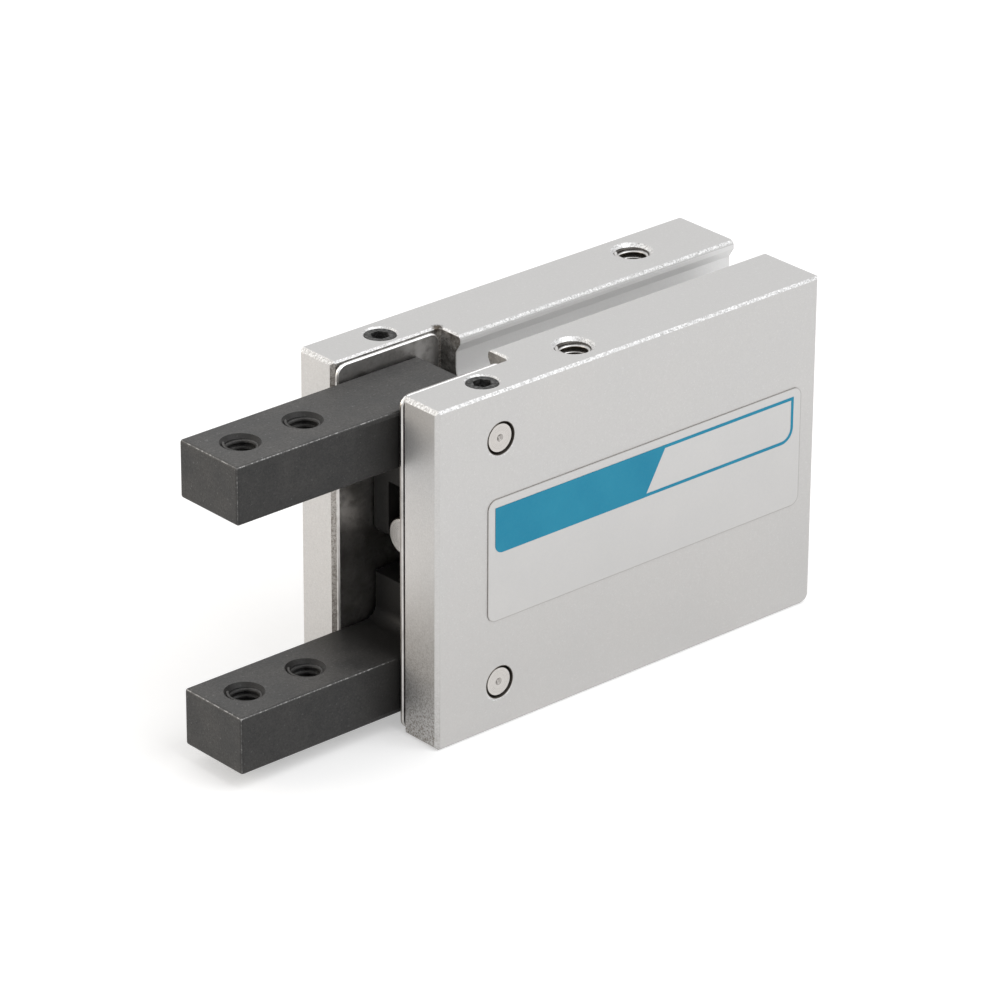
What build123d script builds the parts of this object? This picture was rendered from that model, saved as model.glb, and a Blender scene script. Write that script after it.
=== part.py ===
from build123d import *
import math
import os

# A double-acting pneumatic gripper with two fingers that swing about pins.
# Millimetres. The origin is the centre of the rear mounting face, +X points out of that face,
# the fingers point to -X, +Z is the direction in which the upper finger opens.
# Every station along the block is measured from its front face.

# Block
body_length = 38.5
body_height = 27.6
body_thickness = 15.7
front_chamfer = 0.3
edge_chamfer = 0.2
rear_bottom_radius = 0.8

# Slot between the two cheeks
slot_depth = 10.4
slot_width = 7.9
slot_mouth_chamfer = 0.3
slot_edge_chamfer = 0.15
slot_corner_radius = 0.5

# Sensor grooves along the top and the bottom
groove_width = 4.14
groove_depth = 4.7
groove_mouth = 3.15
groove_lip_radius = 0.45
groove_lip_depth = 0.7
groove_shoulder_depth = 1.49

# Wear liners on the inner sides of the cheeks
liner_thickness = 0.35
liner_length = 9.9
liner_front_margin = 0.1
liner_end_margin = 0.15
liner_corner_radius = 0.9
liner_edge_chamfer = 0.1
liner_cheek_gap = 0.13
liner_pin_clearance = 0.05

# Pivot pins of the fingers
pivot_station = 6.15
pivot_margin = 3.8
pin_diameter = 2.5
pin_hole_clearance = 0.05
pin_recess = 0.1
pin_chamfer = 0.15
pin_dimple_radius = 0.3
pin_dimple_depth = 0.2

# Fingers
finger_reach = 14.9
finger_side_clearance = 0.17
finger_outer_offset = 2.4
finger_inner_offset = 2.25
finger_edge_radius = 0.25
finger_hub_radius = 2.75
finger_pin_clearance = 0.03
finger_root_radius = 1.0
hub_length = 6.0
arm_end_overrun = 0.75
arm_corner_radius = 0.7
arm_lap_gap = 3.2
finger_hole_margin = 3.0
finger_hole_pitch = 5.8
finger_opening_angle = 15.0

# Tapped holes: the bores are the minor diameters of the threads
m3_minor_diameter = 2.5
m3_mouth = 3.3
m3_finger_mouth = 3.1
drill_point_ratio = 0.6
top_hole_depth = 5.0
top_hole_half_spacing = 5.2
near_top_hole_station = 15.6
far_top_hole_station = 31.1
rear_hole_depth = 4.5
rear_hole_spacing_y = 10.4
rear_hole_spacing_z = 18.0

# Set screws that lock the pivot pins, one in each end of each pin
set_screw_diameter = 2.5
set_screw_offset = 5.75
set_screw_recess = 0.1
set_screw_pin_gap = 0.05
set_screw_clearance = 0.02
set_screw_hex = 1.3
set_screw_hex_depth = 1.1
set_screw_mouth_chamfer = 0.12

# Cylinder
bore_diameter = 10.0
bore_station = 16.5
cap_bore_diameter = 11.0
cap_bore_station = 32.0
port_wall_overrun = 0.4
front_port_station = 17.9
rear_port_station = 30.3
wall_fit = 0.02

# Rod and its drive pin
rod_diameter = 4.0
rod_nose_diameter = 3.0
rod_nose_radius = 0.2
rod_nose_overhang = 2.85
rod_shoulder_station = 10.0
rod_tail_diameter = 2.5
drive_pin_diameter = 1.6
drive_pin_clearance = 0.04
drive_pin_length = 6.4
press_gap = 0.01

# Rod guide and rod seal in the front wall
rod_mouth_diameter = 4.4
bush_station = 10.9
bush_length = 3.0
bush_diameter = 6.4
rod_running_clearance = 0.02
seal_pocket_diameter = 7.6
rod_seal_length = 1.9
rod_seal_lip_clearance = 0.05
seal_washer_thickness = 0.5
washer_rod_clearance = 0.15

# Piston and what it carries
piston_length = 8.0
piston_clearance = 0.1
piston_edge_chamfer = 0.4
piston_seal_margin = 2.0
piston_seal_width = 1.8
piston_seal_depth = 1.3
magnet_margin = 4.6
magnet_width = 1.8
magnet_depth = 1.2
piston_ring_gap = 0.05
end_play = 0.1

# Bumpers
bumper_thickness = 1.0
front_bumper_diameter = 8.6
front_bumper_hole = 5.2
rear_bumper_diameter = 7.6
rear_bumper_hole = 3.4

# End cap, its ring seal and the retaining ring
cap_boss_diameter = 8.4
cap_flange_length = 4.35
cap_edge_chamfer = 0.3
cap_recess_diameter = 5.0
cap_recess_depth = 0.5
o_ring_wire = 1.1
o_ring_groove_width = 1.4
o_ring_gap = 0.03
ring_thickness = 0.7
ring_groove_clearance = 0.05
ring_groove_depth = 0.4
ring_width = 0.75
ring_lug_radius = 0.75
ring_lug_hole_radius = 0.4
ring_lug_angle = 16.0

# Side label
label_thickness = 0.06
label_front_station = 4.9
label_length = 32.0
label_top = 5.2
label_bottom = -4.8
label_corner_radius = 0.8

# Places worked out from the sizes above
front_x = -body_length
top_z = body_height / 2
side_y = body_thickness / 2
slot_end_x = front_x + slot_depth
pivot_x = front_x + pivot_station
pivot_z = top_z - pivot_margin
liner_outer_y = slot_width / 2 - liner_cheek_gap
liner_inner_y = liner_outer_y - liner_thickness
finger_side_y = liner_inner_y - finger_side_clearance
tip_x = front_x - finger_reach
stroke_forward = pivot_z * math.tan(math.radians(finger_opening_angle))
piston_front_x = front_x + bore_station + bumper_thickness + stroke_forward + end_play
piston_rear_x = piston_front_x + piston_length
cap_shoulder_x = front_x + cap_bore_station
cap_rear_x = cap_shoulder_x + cap_flange_length


def round_bar(radius, start, end):
    """A cylinder between the centres of its two end faces."""
    start, end = Vector(*start), Vector(*end)
    direction = end - start
    return extrude(Plane(origin=start, z_dir=direction) * Circle(radius), amount=direction.length)


def axial_bar(diameter, start_x, end_x):
    """A cylinder on the piston's axis."""
    return round_bar(diameter / 2, (start_x, 0, 0), (end_x, 0, 0))


def axial_ring(outer_diameter, inner_diameter, start_x, end_x):
    """A plain ring on the piston's axis."""
    return axial_bar(outer_diameter, start_x, end_x) - axial_bar(inner_diameter, start_x, end_x)


def tapped_hole(mouth, inward, minor_diameter, depth, mouth_diameter):
    """The tool that cuts a tapped hole: its bore, a countersink and a drill point."""
    plane = Plane(origin=mouth, z_dir=inward)
    radius = minor_diameter / 2
    lead = mouth_diameter / 2 - radius
    bore = extrude(plane * Circle(radius), amount=depth)
    countersink = plane.location * Pos(0, 0, lead / 2) * Cone(mouth_diameter / 2, radius, lead)
    point_length = radius * drill_point_ratio
    point = plane.location * Pos(0, 0, depth + point_length / 2) * Cone(radius, 0, point_length)
    return bore + countersink + point


def groove_lip(side):
    """The section of one lip: a rounded top edge, an upright nose and a slanted underside."""
    nose_y = groove_mouth / 2
    wall_y = groove_width / 2
    root_y = groove_width
    section = make_face(Polyline(
        (side * nose_y, 0),
        (side * nose_y, -groove_lip_depth),
        (side * wall_y, -groove_shoulder_depth),
        (side * root_y, -groove_shoulder_depth),
        (side * root_y, 0),
        close=True,
    ))
    top_edge = section.vertices().sort_by_distance((side * nose_y, 0))[0]
    return fillet(top_edge, groove_lip_radius)


def groove_cut():
    """The upper sensor groove: a round bottom, upright walls and two rounded lips."""
    radius = groove_width / 2
    wall_height = groove_depth - radius
    mouth_width = groove_mouth + 2 * groove_lip_radius
    profile = Pos(0, -wall_height / 2) * Rectangle(groove_width, wall_height)
    profile += Pos(0, -groove_lip_radius / 2) * Rectangle(mouth_width, groove_lip_radius)
    profile += Pos(0, -wall_height) * Circle(radius)
    profile -= groove_lip(-1) + groove_lip(1)
    plane = Plane(origin=(slot_end_x, 0, top_z), x_dir=(0, 1, 0), z_dir=(1, 0, 0))
    return extrude(plane * profile, amount=-slot_end_x)


def is_slot_edge(edge):
    """Whether an edge of the block lies on one of the slot's two walls, at its mouth or top."""
    centre = edge.center()
    on_wall = abs(abs(centre.Y) - slot_width / 2) < slot_edge_chamfer / 2
    return on_wall and centre.X < slot_end_x - slot_corner_radius


def block_blank():
    """The block with its broken edges and the slot between the cheeks."""
    blank = Pos(front_x / 2, 0, 0) * Box(body_length, body_thickness, body_height)
    rear_bottom = blank.faces().sort_by(Axis.X)[-1].edges().sort_by(Axis.Z)[0]
    blank = fillet(rear_bottom, rear_bottom_radius)
    front_edges = blank.faces().sort_by(Axis.X)[0].edges()
    blank = chamfer(front_edges, front_chamfer)
    long_edges = blank.edges().filter_by(Axis.X)
    blank = chamfer(long_edges, edge_chamfer)
    slot = Pos(front_x + slot_depth / 2, 0, 0) * Box(slot_depth, slot_width, 2 * body_height)
    end_corners = slot.edges().filter_by(Axis.Z).group_by(Axis.X)[-1]
    blank -= fillet(end_corners, slot_corner_radius)
    mouth_edges = [edge for edge in blank.edges().filter_by(Axis.Z) if is_slot_edge(edge)]
    blank = chamfer(mouth_edges, slot_mouth_chamfer)
    long_edges = [edge for edge in blank.edges().filter_by(Axis.X) if is_slot_edge(edge)]
    return chamfer(long_edges, slot_edge_chamfer)


def pivot_pin_holes():
    """Cross holes for both pivot pins and the four tapped holes of their set screws."""
    radius = pin_diameter / 2 + pin_hole_clearance
    cuts = []
    for upper in (-1, 1):
        z = upper * pivot_z
        cuts.append(round_bar(radius, (pivot_x, -side_y, z), (pivot_x, side_y, z)))
        for side in (-1, 1):
            y = side * set_screw_offset
            mouth = (pivot_x, y, upper * top_z)
            cuts.append(round_bar(set_screw_diameter / 2, mouth, (pivot_x, y, z)))
            lead = set_screw_mouth_chamfer
            rim = Cone(set_screw_diameter / 2 + lead, set_screw_diameter / 2, lead)
            plane = Plane(origin=mouth, z_dir=(0, 0, -upper))
            cuts.append(plane.location * Pos(0, 0, lead / 2) * rim)
    return cuts


def mounting_holes():
    """Tapped holes in the top, the bottom and the rear face."""
    cuts = []
    for upper in (-1, 1):
        places = (
            (near_top_hole_station, -upper * top_hole_half_spacing),
            (far_top_hole_station, upper * top_hole_half_spacing),
        )
        for hole_station, y in places:
            mouth = (front_x + hole_station, y, upper * top_z)
            inward = (0, 0, -upper)
            cuts.append(tapped_hole(mouth, inward, m3_minor_diameter, top_hole_depth, m3_mouth))
    for y_side in (-1, 1):
        for z_side in (-1, 1):
            mouth = (0, y_side * rear_hole_spacing_y / 2, z_side * rear_hole_spacing_z / 2)
            inward = (-1, 0, 0)
            cuts.append(tapped_hole(mouth, inward, m3_minor_diameter, rear_hole_depth, m3_mouth))
    return cuts


def air_ports():
    """Two tapped ports in the side away from the label, one into each end of the cylinder."""
    depth = side_y - bore_diameter / 2 + port_wall_overrun
    cuts = []
    for port_station in (front_port_station, rear_port_station):
        mouth = (front_x + port_station, side_y, 0)
        plane = Plane(origin=mouth, z_dir=(0, -1, 0))
        lead = (m3_mouth - m3_minor_diameter) / 2
        cuts.append(extrude(plane * Circle(m3_minor_diameter / 2), amount=depth))
        rim = Cone(m3_mouth / 2, m3_minor_diameter / 2, lead)
        cuts.append(plane.location * Pos(0, 0, lead / 2) * rim)
    return cuts


def cylinder_bores():
    """The stepped bore on the piston's axis, from the slot's end wall to the rear face."""
    bush_x = front_x + bush_station
    bush_end_x = bush_x + bush_length
    bore_x = front_x + bore_station
    groove_diameter = cap_bore_diameter + 2 * ring_groove_depth
    groove_length = ring_thickness + 2 * ring_groove_clearance
    return [
        axial_bar(rod_mouth_diameter, slot_end_x, bush_x),
        axial_bar(bush_diameter + 2 * press_gap, bush_x, bush_end_x),
        axial_bar(seal_pocket_diameter, bush_end_x, bore_x),
        axial_bar(bore_diameter, bore_x, cap_shoulder_x),
        axial_bar(cap_bore_diameter, cap_shoulder_x, 0),
        axial_bar(groove_diameter, cap_rear_x, cap_rear_x + groove_length),
    ]


def make_body():
    """The aluminium block: cheeks, cylinder and sensor grooves in one piece."""
    upper_groove = groove_cut()
    cuts = [upper_groove, mirror(upper_groove, about=Plane.XY)]
    cuts += cylinder_bores() + pivot_pin_holes() + mounting_holes() + air_ports()
    return block_blank() - cuts


def make_liner(side):
    """A steel wear plate that hangs on both pivot pins, between a finger's side and the cheek."""
    height = body_height - 2 * liner_end_margin
    face = RectangleRounded(liner_length, height, liner_corner_radius)
    plane = Plane(
        origin=(front_x + liner_front_margin + liner_length / 2, side * liner_inner_y, 0),
        x_dir=(side, 0, 0),
        z_dir=(0, side, 0),
    )
    plate = extrude(plane * face, amount=liner_thickness)
    rims = plate.faces().filter_by(Plane.XZ).edges()
    plate = chamfer(rims, liner_edge_chamfer)
    hole_radius = pin_diameter / 2 + liner_pin_clearance
    for upper in (-1, 1):
        z = upper * pivot_z
        start = (pivot_x, side * (liner_inner_y - liner_thickness), z)
        end = (pivot_x, side * (liner_outer_y + liner_thickness), z)
        plate -= round_bar(hole_radius, start, end)
    return plate


def finger_outline():
    """The finger from the side: the bar, the eye round the pin and a block below, with a fillet."""
    bar_height = finger_outer_offset + finger_inner_offset
    bar_length = pivot_x - tip_x
    bar_z = pivot_z + (finger_outer_offset - finger_inner_offset) / 2
    bar = Pos(tip_x + bar_length / 2, bar_z) * Rectangle(bar_length, bar_height)
    block = Pos(pivot_x, pivot_z - hub_length / 2) * Rectangle(2 * finger_hub_radius, hub_length)
    eye = Pos(pivot_x, pivot_z) * Circle(finger_hub_radius)
    above = Pos(pivot_x, pivot_z + finger_outer_offset + finger_hub_radius)
    eye -= above * Rectangle(2 * finger_hub_radius, 2 * finger_hub_radius)
    outline = bar + block + eye
    root = (pivot_x - finger_hub_radius, pivot_z - finger_inner_offset)
    root_corner = outline.vertices().sort_by_distance((*root, 0))[0]
    return fillet(root_corner, finger_root_radius)


def finger_blank():
    """The full-width part of the finger, with its long edges and its tip softened."""
    plane = Plane(origin=(0, finger_side_y, 0), x_dir=(1, 0, 0), z_dir=(0, -1, 0))
    blank = extrude(plane * finger_outline(), amount=2 * finger_side_y)
    tip_edges = blank.faces().sort_by(Axis.X)[0].edges()
    bar_bottom = pivot_z - finger_inner_offset
    long_edges = [
        edge for edge in blank.edges().filter_by(Axis.X)
        if edge.center().Z > bar_bottom - finger_edge_radius
    ]
    return fillet(long_edges + tip_edges, finger_edge_radius)


def finger_arm():
    """The half-width lever that reaches past the piston's axis, with its open slot."""
    arm_length = pivot_z - hub_length + arm_end_overrun
    end_z = -arm_end_overrun
    width = 2 * finger_hub_radius
    outline = Pos(pivot_x, end_z + arm_length / 2) * Rectangle(width, arm_length)
    outline = fillet(outline.vertices().group_by(Axis.Y)[0], arm_corner_radius)
    slot_width_x = drive_pin_diameter + 2 * drive_pin_clearance
    slot_end = Pos(pivot_x, 0) * Circle(slot_width_x / 2)
    slot_mouth = Pos(pivot_x, -arm_length / 2) * Rectangle(slot_width_x, arm_length)
    outline -= slot_end + slot_mouth
    lap_y = arm_lap_gap / 2
    plane = Plane(origin=(0, finger_side_y, 0), x_dir=(1, 0, 0), z_dir=(0, -1, 0))
    return extrude(plane * outline, amount=finger_side_y - lap_y)


def make_upper_finger():
    """The upper finger: bar, hub and lever in one piece of steel."""
    finger = finger_blank() + finger_arm()
    hole_radius = pin_diameter / 2 + finger_pin_clearance
    start = (pivot_x, -2 * finger_side_y, pivot_z)
    end = (pivot_x, 2 * finger_side_y, pivot_z)
    finger -= round_bar(hole_radius, start, end)
    top = pivot_z + finger_outer_offset
    height = finger_outer_offset + finger_inner_offset
    for index in range(2):
        x = tip_x + finger_hole_margin + index * finger_hole_pitch
        outer_mouth = (x, 0, top)
        inner_mouth = (x, 0, top - height)
        finger -= tapped_hole(outer_mouth, (0, 0, -1), m3_minor_diameter, height, m3_finger_mouth)
        finger -= tapped_hole(inner_mouth, (0, 0, 1), m3_minor_diameter, height, m3_finger_mouth)
    return finger


def make_pivot_pin(upper):
    """A ground dowel through both cheeks, with a centre mark in each end."""
    z = upper * pivot_z
    half_length = side_y - pin_recess
    pin = round_bar(pin_diameter / 2, (pivot_x, -half_length, z), (pivot_x, half_length, z))
    pin = chamfer(pin.edges().filter_by(GeomType.CIRCLE), pin_chamfer)
    for side in (-1, 1):
        plane = Plane(origin=(pivot_x, side * half_length, z), z_dir=(0, -side, 0))
        mark = Cone(pin_dimple_radius, 0, pin_dimple_depth)
        pin -= plane.location * Pos(0, 0, pin_dimple_depth / 2) * mark
    return pin


def make_set_screw(upper, side):
    """A headless hexagon-socket screw that bears on one end of a pivot pin."""
    outer_z = top_z - set_screw_recess
    inner_z = pivot_z + pin_diameter / 2 + set_screw_pin_gap
    length = outer_z - inner_z
    mouth = (pivot_x, side * set_screw_offset, upper * outer_z)
    plane = Plane(origin=mouth, z_dir=(0, 0, -upper))
    screw = extrude(plane * Circle(set_screw_diameter / 2 - set_screw_clearance), amount=length)
    screw = chamfer(screw.edges().filter_by(GeomType.CIRCLE), 2 * set_screw_clearance)
    socket_circumradius = set_screw_hex / math.sqrt(3)
    socket = extrude(plane * RegularPolygon(socket_circumradius, 6), amount=set_screw_hex_depth)
    return screw - socket


def make_set_screws():
    """The four set screws, two above and two below."""
    return [make_set_screw(upper, side) for upper in (-1, 1) for side in (-1, 1)]


def make_piston():
    """The piston, with a groove for its seal and one for the magnet."""
    diameter = bore_diameter - 2 * piston_clearance
    piston = axial_bar(diameter, piston_front_x, piston_rear_x)
    piston = chamfer(piston.edges().filter_by(GeomType.CIRCLE), piston_edge_chamfer)
    grooves = (
        (piston_seal_margin, piston_seal_width, piston_seal_depth),
        (magnet_margin, magnet_width, magnet_depth),
    )
    for margin, width, depth in grooves:
        start_x = piston_front_x + margin
        piston -= axial_ring(bore_diameter, diameter - 2 * depth, start_x, start_x + width)
    return piston - axial_bar(rod_tail_diameter + 2 * press_gap, piston_front_x, piston_rear_x)


def piston_ring(margin, width, depth, outer_diameter):
    """A ring that fills one of the piston's grooves, with a small gap on each side."""
    inner_diameter = bore_diameter - 2 * piston_clearance - 2 * depth + 2 * piston_ring_gap
    start_x = piston_front_x + margin + piston_ring_gap
    return axial_ring(outer_diameter, inner_diameter, start_x, start_x + width - 2 * piston_ring_gap)


def make_piston_seal():
    """The piston's rubber seal, which reaches almost to the bore, with a tapered lip."""
    outer_diameter = bore_diameter - 2 * piston_ring_gap
    seal = piston_ring(piston_seal_margin, piston_seal_width, piston_seal_depth, outer_diameter)
    lips = seal.edges().filter_by(GeomType.CIRCLE).sort_by(SortBy.RADIUS)[-2:]
    return chamfer(lips, piston_seal_width / 4)


def make_magnet_ring():
    """The ring magnet that a switch in the sensor groove detects."""
    diameter = bore_diameter - 2 * piston_clearance - 2 * piston_ring_gap
    return piston_ring(magnet_margin, magnet_width, magnet_depth, diameter)


def make_piston_rod():
    """The rod: a nose that carries the drive pin, the sliding part and the tail in the piston."""
    nose_x = pivot_x - rod_nose_overhang
    shoulder_x = front_x + rod_shoulder_station
    nose = axial_bar(rod_nose_diameter, nose_x, shoulder_x)
    nose = fillet(nose.edges().filter_by(GeomType.CIRCLE).sort_by(Axis.X)[0], rod_nose_radius)
    rod = nose + axial_bar(rod_diameter, shoulder_x, piston_front_x)
    rod += axial_bar(rod_tail_diameter, piston_front_x, piston_rear_x)
    half = rod_diameter
    cross_hole = round_bar(drive_pin_diameter / 2 + press_gap, (pivot_x, -half, 0), (pivot_x, half, 0))
    return rod - cross_hole


def make_drive_pin():
    """The cross pin in the rod's nose, which moves both levers."""
    half = drive_pin_length / 2
    pin = round_bar(drive_pin_diameter / 2, (pivot_x, -half, 0), (pivot_x, half, 0))
    return chamfer(pin.edges().filter_by(GeomType.CIRCLE), pin_chamfer)


def make_rod_bush():
    """The bronze bush that guides the rod in the front wall."""
    start_x = front_x + bush_station
    hole = rod_diameter + 2 * rod_running_clearance
    return axial_ring(bush_diameter, hole, start_x, start_x + bush_length)


def make_rod_seal():
    """The rod's lip seal: a ring with a V-shaped notch that faces the pressure."""
    start_x = front_x + bush_station + bush_length + press_gap
    end_x = start_x + rod_seal_length
    outer = seal_pocket_diameter - 2 * rod_seal_lip_clearance
    inner = rod_diameter + 2 * rod_seal_lip_clearance
    seal = axial_ring(outer, inner, start_x, end_x)
    mid_radius = (outer + inner) / 4
    notch_half = (outer - inner) / 8
    notch_x = start_x + rod_seal_length / 2
    notch = Polyline(
        (notch_x, 0, mid_radius),
        (end_x, 0, mid_radius + notch_half),
        (end_x, 0, mid_radius - notch_half),
        close=True,
    )
    return seal - revolve(make_face(notch), Axis.X)


def make_seal_washer():
    """The washer that keeps the rod seal in its pocket."""
    end_x = front_x + bore_station
    outer = seal_pocket_diameter - 2 * wall_fit
    inner = rod_diameter + 2 * washer_rod_clearance
    return axial_ring(outer, inner, end_x - seal_washer_thickness, end_x)


def make_front_bumper():
    """The rubber ring that the piston meets when the fingers are open."""
    start_x = front_x + bore_station
    return axial_ring(front_bumper_diameter, front_bumper_hole, start_x, start_x + bumper_thickness)


def rear_bumper_start():
    """Where the rear bumper's front face lies: the backward stroke behind the piston."""
    return front_x + rear_port_station - bumper_thickness


def make_rear_bumper():
    """The rubber ring on the end cap, which the piston meets when the fingers are closed."""
    start_x = rear_bumper_start()
    return axial_ring(rear_bumper_diameter, rear_bumper_hole, start_x, start_x + bumper_thickness)


def cap_groove_start():
    """Where the ring seal's groove in the cap begins, in the middle of its flange."""
    return cap_shoulder_x + (cap_flange_length - o_ring_groove_width) / 2


def make_end_cap():
    """The plug that closes the cylinder, with a groove for its ring seal."""
    flange_diameter = cap_bore_diameter - 2 * wall_fit
    flange = axial_bar(flange_diameter, cap_shoulder_x, cap_rear_x)
    flange = chamfer(flange.edges().filter_by(GeomType.CIRCLE).sort_by(Axis.X)[-1], cap_edge_chamfer)
    boss = axial_bar(cap_boss_diameter, rear_bumper_start() + bumper_thickness, cap_shoulder_x)
    floor_diameter = cap_bore_diameter - 2 * o_ring_wire - 4 * o_ring_gap
    start_x = cap_groove_start()
    groove = axial_ring(cap_bore_diameter, floor_diameter, start_x, start_x + o_ring_groove_width)
    recess = axial_bar(cap_recess_diameter, cap_rear_x - cap_recess_depth, cap_rear_x)
    return flange + boss - groove - recess


def make_cap_o_ring():
    """The ring seal between the end cap and the bore, as it lies squeezed: flat on four sides."""
    outer = cap_bore_diameter - 2 * o_ring_gap
    centre_x = cap_groove_start() + o_ring_groove_width / 2
    start_x = centre_x - o_ring_wire / 2
    ring = axial_ring(outer, outer - 2 * o_ring_wire, start_x, start_x + o_ring_wire)
    return chamfer(ring.edges().filter_by(GeomType.CIRCLE), o_ring_wire / 4)


def make_retaining_ring():
    """The sprung ring behind the end cap: an open ring with two drilled lugs."""
    start_x = cap_rear_x + ring_groove_clearance
    outer_radius = cap_bore_diameter / 2 + ring_groove_depth - ring_groove_clearance
    inner_radius = outer_radius - ring_width
    lug_centre = inner_radius - ring_lug_radius / 2
    outline = Circle(outer_radius) - Circle(inner_radius)
    half_gap = math.radians(ring_lug_angle)
    gap_reach = 2 * outer_radius
    gap = make_face(Polyline(
        (0, 0),
        (gap_reach * math.cos(half_gap), gap_reach * math.sin(half_gap)),
        (gap_reach * math.cos(half_gap), -gap_reach * math.sin(half_gap)),
        close=True,
    ))
    outline -= gap
    for side in (-1, 1):
        angle = side * (ring_lug_angle + math.degrees(ring_lug_radius / lug_centre))
        place = Rot(0, 0, angle) * Pos(lug_centre, 0)
        outline += place * Circle(ring_lug_radius)
        outline -= place * Circle(ring_lug_hole_radius)
    plane = Plane(origin=(start_x, 0, 0), x_dir=(0, 0, -1), z_dir=(1, 0, 0))
    return extrude(plane * outline, amount=ring_thickness)


def make_label():
    """The thin label on the near side of the block."""
    height = label_top - label_bottom
    centre_x = front_x + label_front_station + label_length / 2
    centre_z = (label_top + label_bottom) / 2
    plane = Plane(origin=(centre_x, -side_y, centre_z), x_dir=(1, 0, 0), z_dir=(0, -1, 0))
    outline = RectangleRounded(label_length, height, label_corner_radius)
    return extrude(plane * outline, amount=label_thickness)


upper_finger = make_upper_finger()

nodes = {
    "body": make_body(),
    "near_liner": make_liner(-1),
    "far_liner": make_liner(1),
    "upper_finger": upper_finger,
    "lower_finger": Rot(180, 0, 0) * upper_finger,
    "upper_pivot_pin": make_pivot_pin(1),
    "lower_pivot_pin": make_pivot_pin(-1),
    "set_screws": Compound(make_set_screws()),
    "piston": make_piston(),
    "piston_seal": make_piston_seal(),
    "magnet_ring": make_magnet_ring(),
    "piston_rod": make_piston_rod(),
    "drive_pin": make_drive_pin(),
    "rod_bush": make_rod_bush(),
    "rod_seal": make_rod_seal(),
    "seal_washer": make_seal_washer(),
    "front_bumper": make_front_bumper(),
    "rear_bumper": make_rear_bumper(),
    "end_cap": make_end_cap(),
    "cap_o_ring": make_cap_o_ring(),
    "retaining_ring": make_retaining_ring(),
    "label": make_label(),
}

os.makedirs("parts", exist_ok=True)
for name, shape in nodes.items():
    export_step(shape, f"parts/{name}.step")
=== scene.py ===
# %% [markdown]
# A pneumatic angular gripper: a flat aluminium block with a small cylinder in it, and two black
# steel fingers that swing on pins between its cheeks. Its solids come with their shapes and sizes,
# so this lesson leaves them as they are. It gives each one a finish, and adds what is too fine for
# the solids: the threads in the tapped holes and the print on the label.

# %% Load the frame
import math

import bmesh
import bpy
from mathutils import Matrix, Vector


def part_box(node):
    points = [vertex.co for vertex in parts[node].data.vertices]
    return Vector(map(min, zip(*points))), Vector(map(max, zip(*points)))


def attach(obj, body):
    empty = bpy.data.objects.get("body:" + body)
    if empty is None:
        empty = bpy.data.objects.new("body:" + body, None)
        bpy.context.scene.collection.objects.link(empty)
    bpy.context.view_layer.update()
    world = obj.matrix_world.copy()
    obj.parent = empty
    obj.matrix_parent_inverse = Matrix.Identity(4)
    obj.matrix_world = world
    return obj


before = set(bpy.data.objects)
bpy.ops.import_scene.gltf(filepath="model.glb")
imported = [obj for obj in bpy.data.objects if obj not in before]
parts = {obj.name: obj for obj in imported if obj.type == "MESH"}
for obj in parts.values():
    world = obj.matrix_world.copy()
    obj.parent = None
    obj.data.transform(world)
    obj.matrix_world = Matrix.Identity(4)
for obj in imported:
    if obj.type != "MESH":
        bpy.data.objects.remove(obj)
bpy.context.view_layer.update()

mm = 0.001
print("pieces from the solids:", len(parts))

# %% [markdown]
# Most places come from the solids' own boxes, so a change of the block moves the rest with it.

# %% Read the main places from the solids
block_low, block_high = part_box("body")
block_height = block_high.z - block_low.z
front_x = block_low.x
near_y = block_low.y
slot_half_width = 3.95 * mm
slot_mouth_chamfer = 0.3 * mm
slot_edge_chamfer = 0.15 * mm
slot_depth = 10.4 * mm
slot_end_x = front_x + slot_depth
pin_low, pin_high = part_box("upper_pivot_pin")
pin_centre = (pin_low + pin_high) / 2
pin_radius = (pin_high.z - pin_low.z) / 2
label_low, label_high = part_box("label")
print("block in mm:", [round(side / mm, 2) for side in block_high - block_low])

# %% [markdown]
# The picture was taken from far off with a long lens, to the left of the label's side and above it.
# Its camera is rebuilt from three angles, a distance and a focal length. They were fitted to the
# block's corners, and the distances are counted in heights of the block.

# %% Place the camera
azimuth = math.radians(-41.6104)
elevation = math.radians(25.4484)
roll = math.radians(0.3373)
sensor_width = 36.0
focal_length_over_width = 5.49884
camera_distance = 14.7752
camera_right = 0.1690
camera_up = 0.6779

back = Vector((
    math.sin(azimuth) * math.cos(elevation),
    -math.cos(azimuth) * math.cos(elevation),
    math.sin(elevation),
))
level_right = Vector((math.cos(azimuth), math.sin(azimuth), 0))
level_up = back.cross(level_right)
right = math.cos(roll) * level_right + math.sin(roll) * level_up
up = math.cos(roll) * level_up - math.sin(roll) * level_right
offset = camera_right * right + camera_up * up + camera_distance * back

camera_data = bpy.data.cameras.new("camera")
camera_data.sensor_width = sensor_width
camera_data.lens = sensor_width * focal_length_over_width
camera = bpy.data.objects.new("camera", camera_data)
bpy.context.scene.collection.objects.link(camera)
turned = Matrix((right, up, back)).transposed().to_4x4()
camera.matrix_world = Matrix.Translation(block_low + block_height * offset) @ turned
bpy.context.scene.camera = camera
print("lens in mm:", round(camera_data.lens, 1))

# %% [markdown]
# Every material here is a small network of nodes. A few helpers keep the networks short: they add
# a node and link or set its inputs, do sums, and mix colours.

# %% Helpers for node networks
def add_node(tree, kind, inputs=None, **options):
    """Adds a node, sets its options, and links or sets each input that is given."""
    node = tree.nodes.new(kind)
    for option, value in options.items():
        setattr(node, option, value)
    for key, value in (inputs or {}).items():
        connect(tree, node.inputs[key], value)
    return node


def connect(tree, socket, value):
    """Links another node's output to a socket, or sets the socket to a plain value."""
    if isinstance(value, bpy.types.NodeSocket):
        tree.links.new(value, socket)
    else:
        socket.default_value = value


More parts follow.
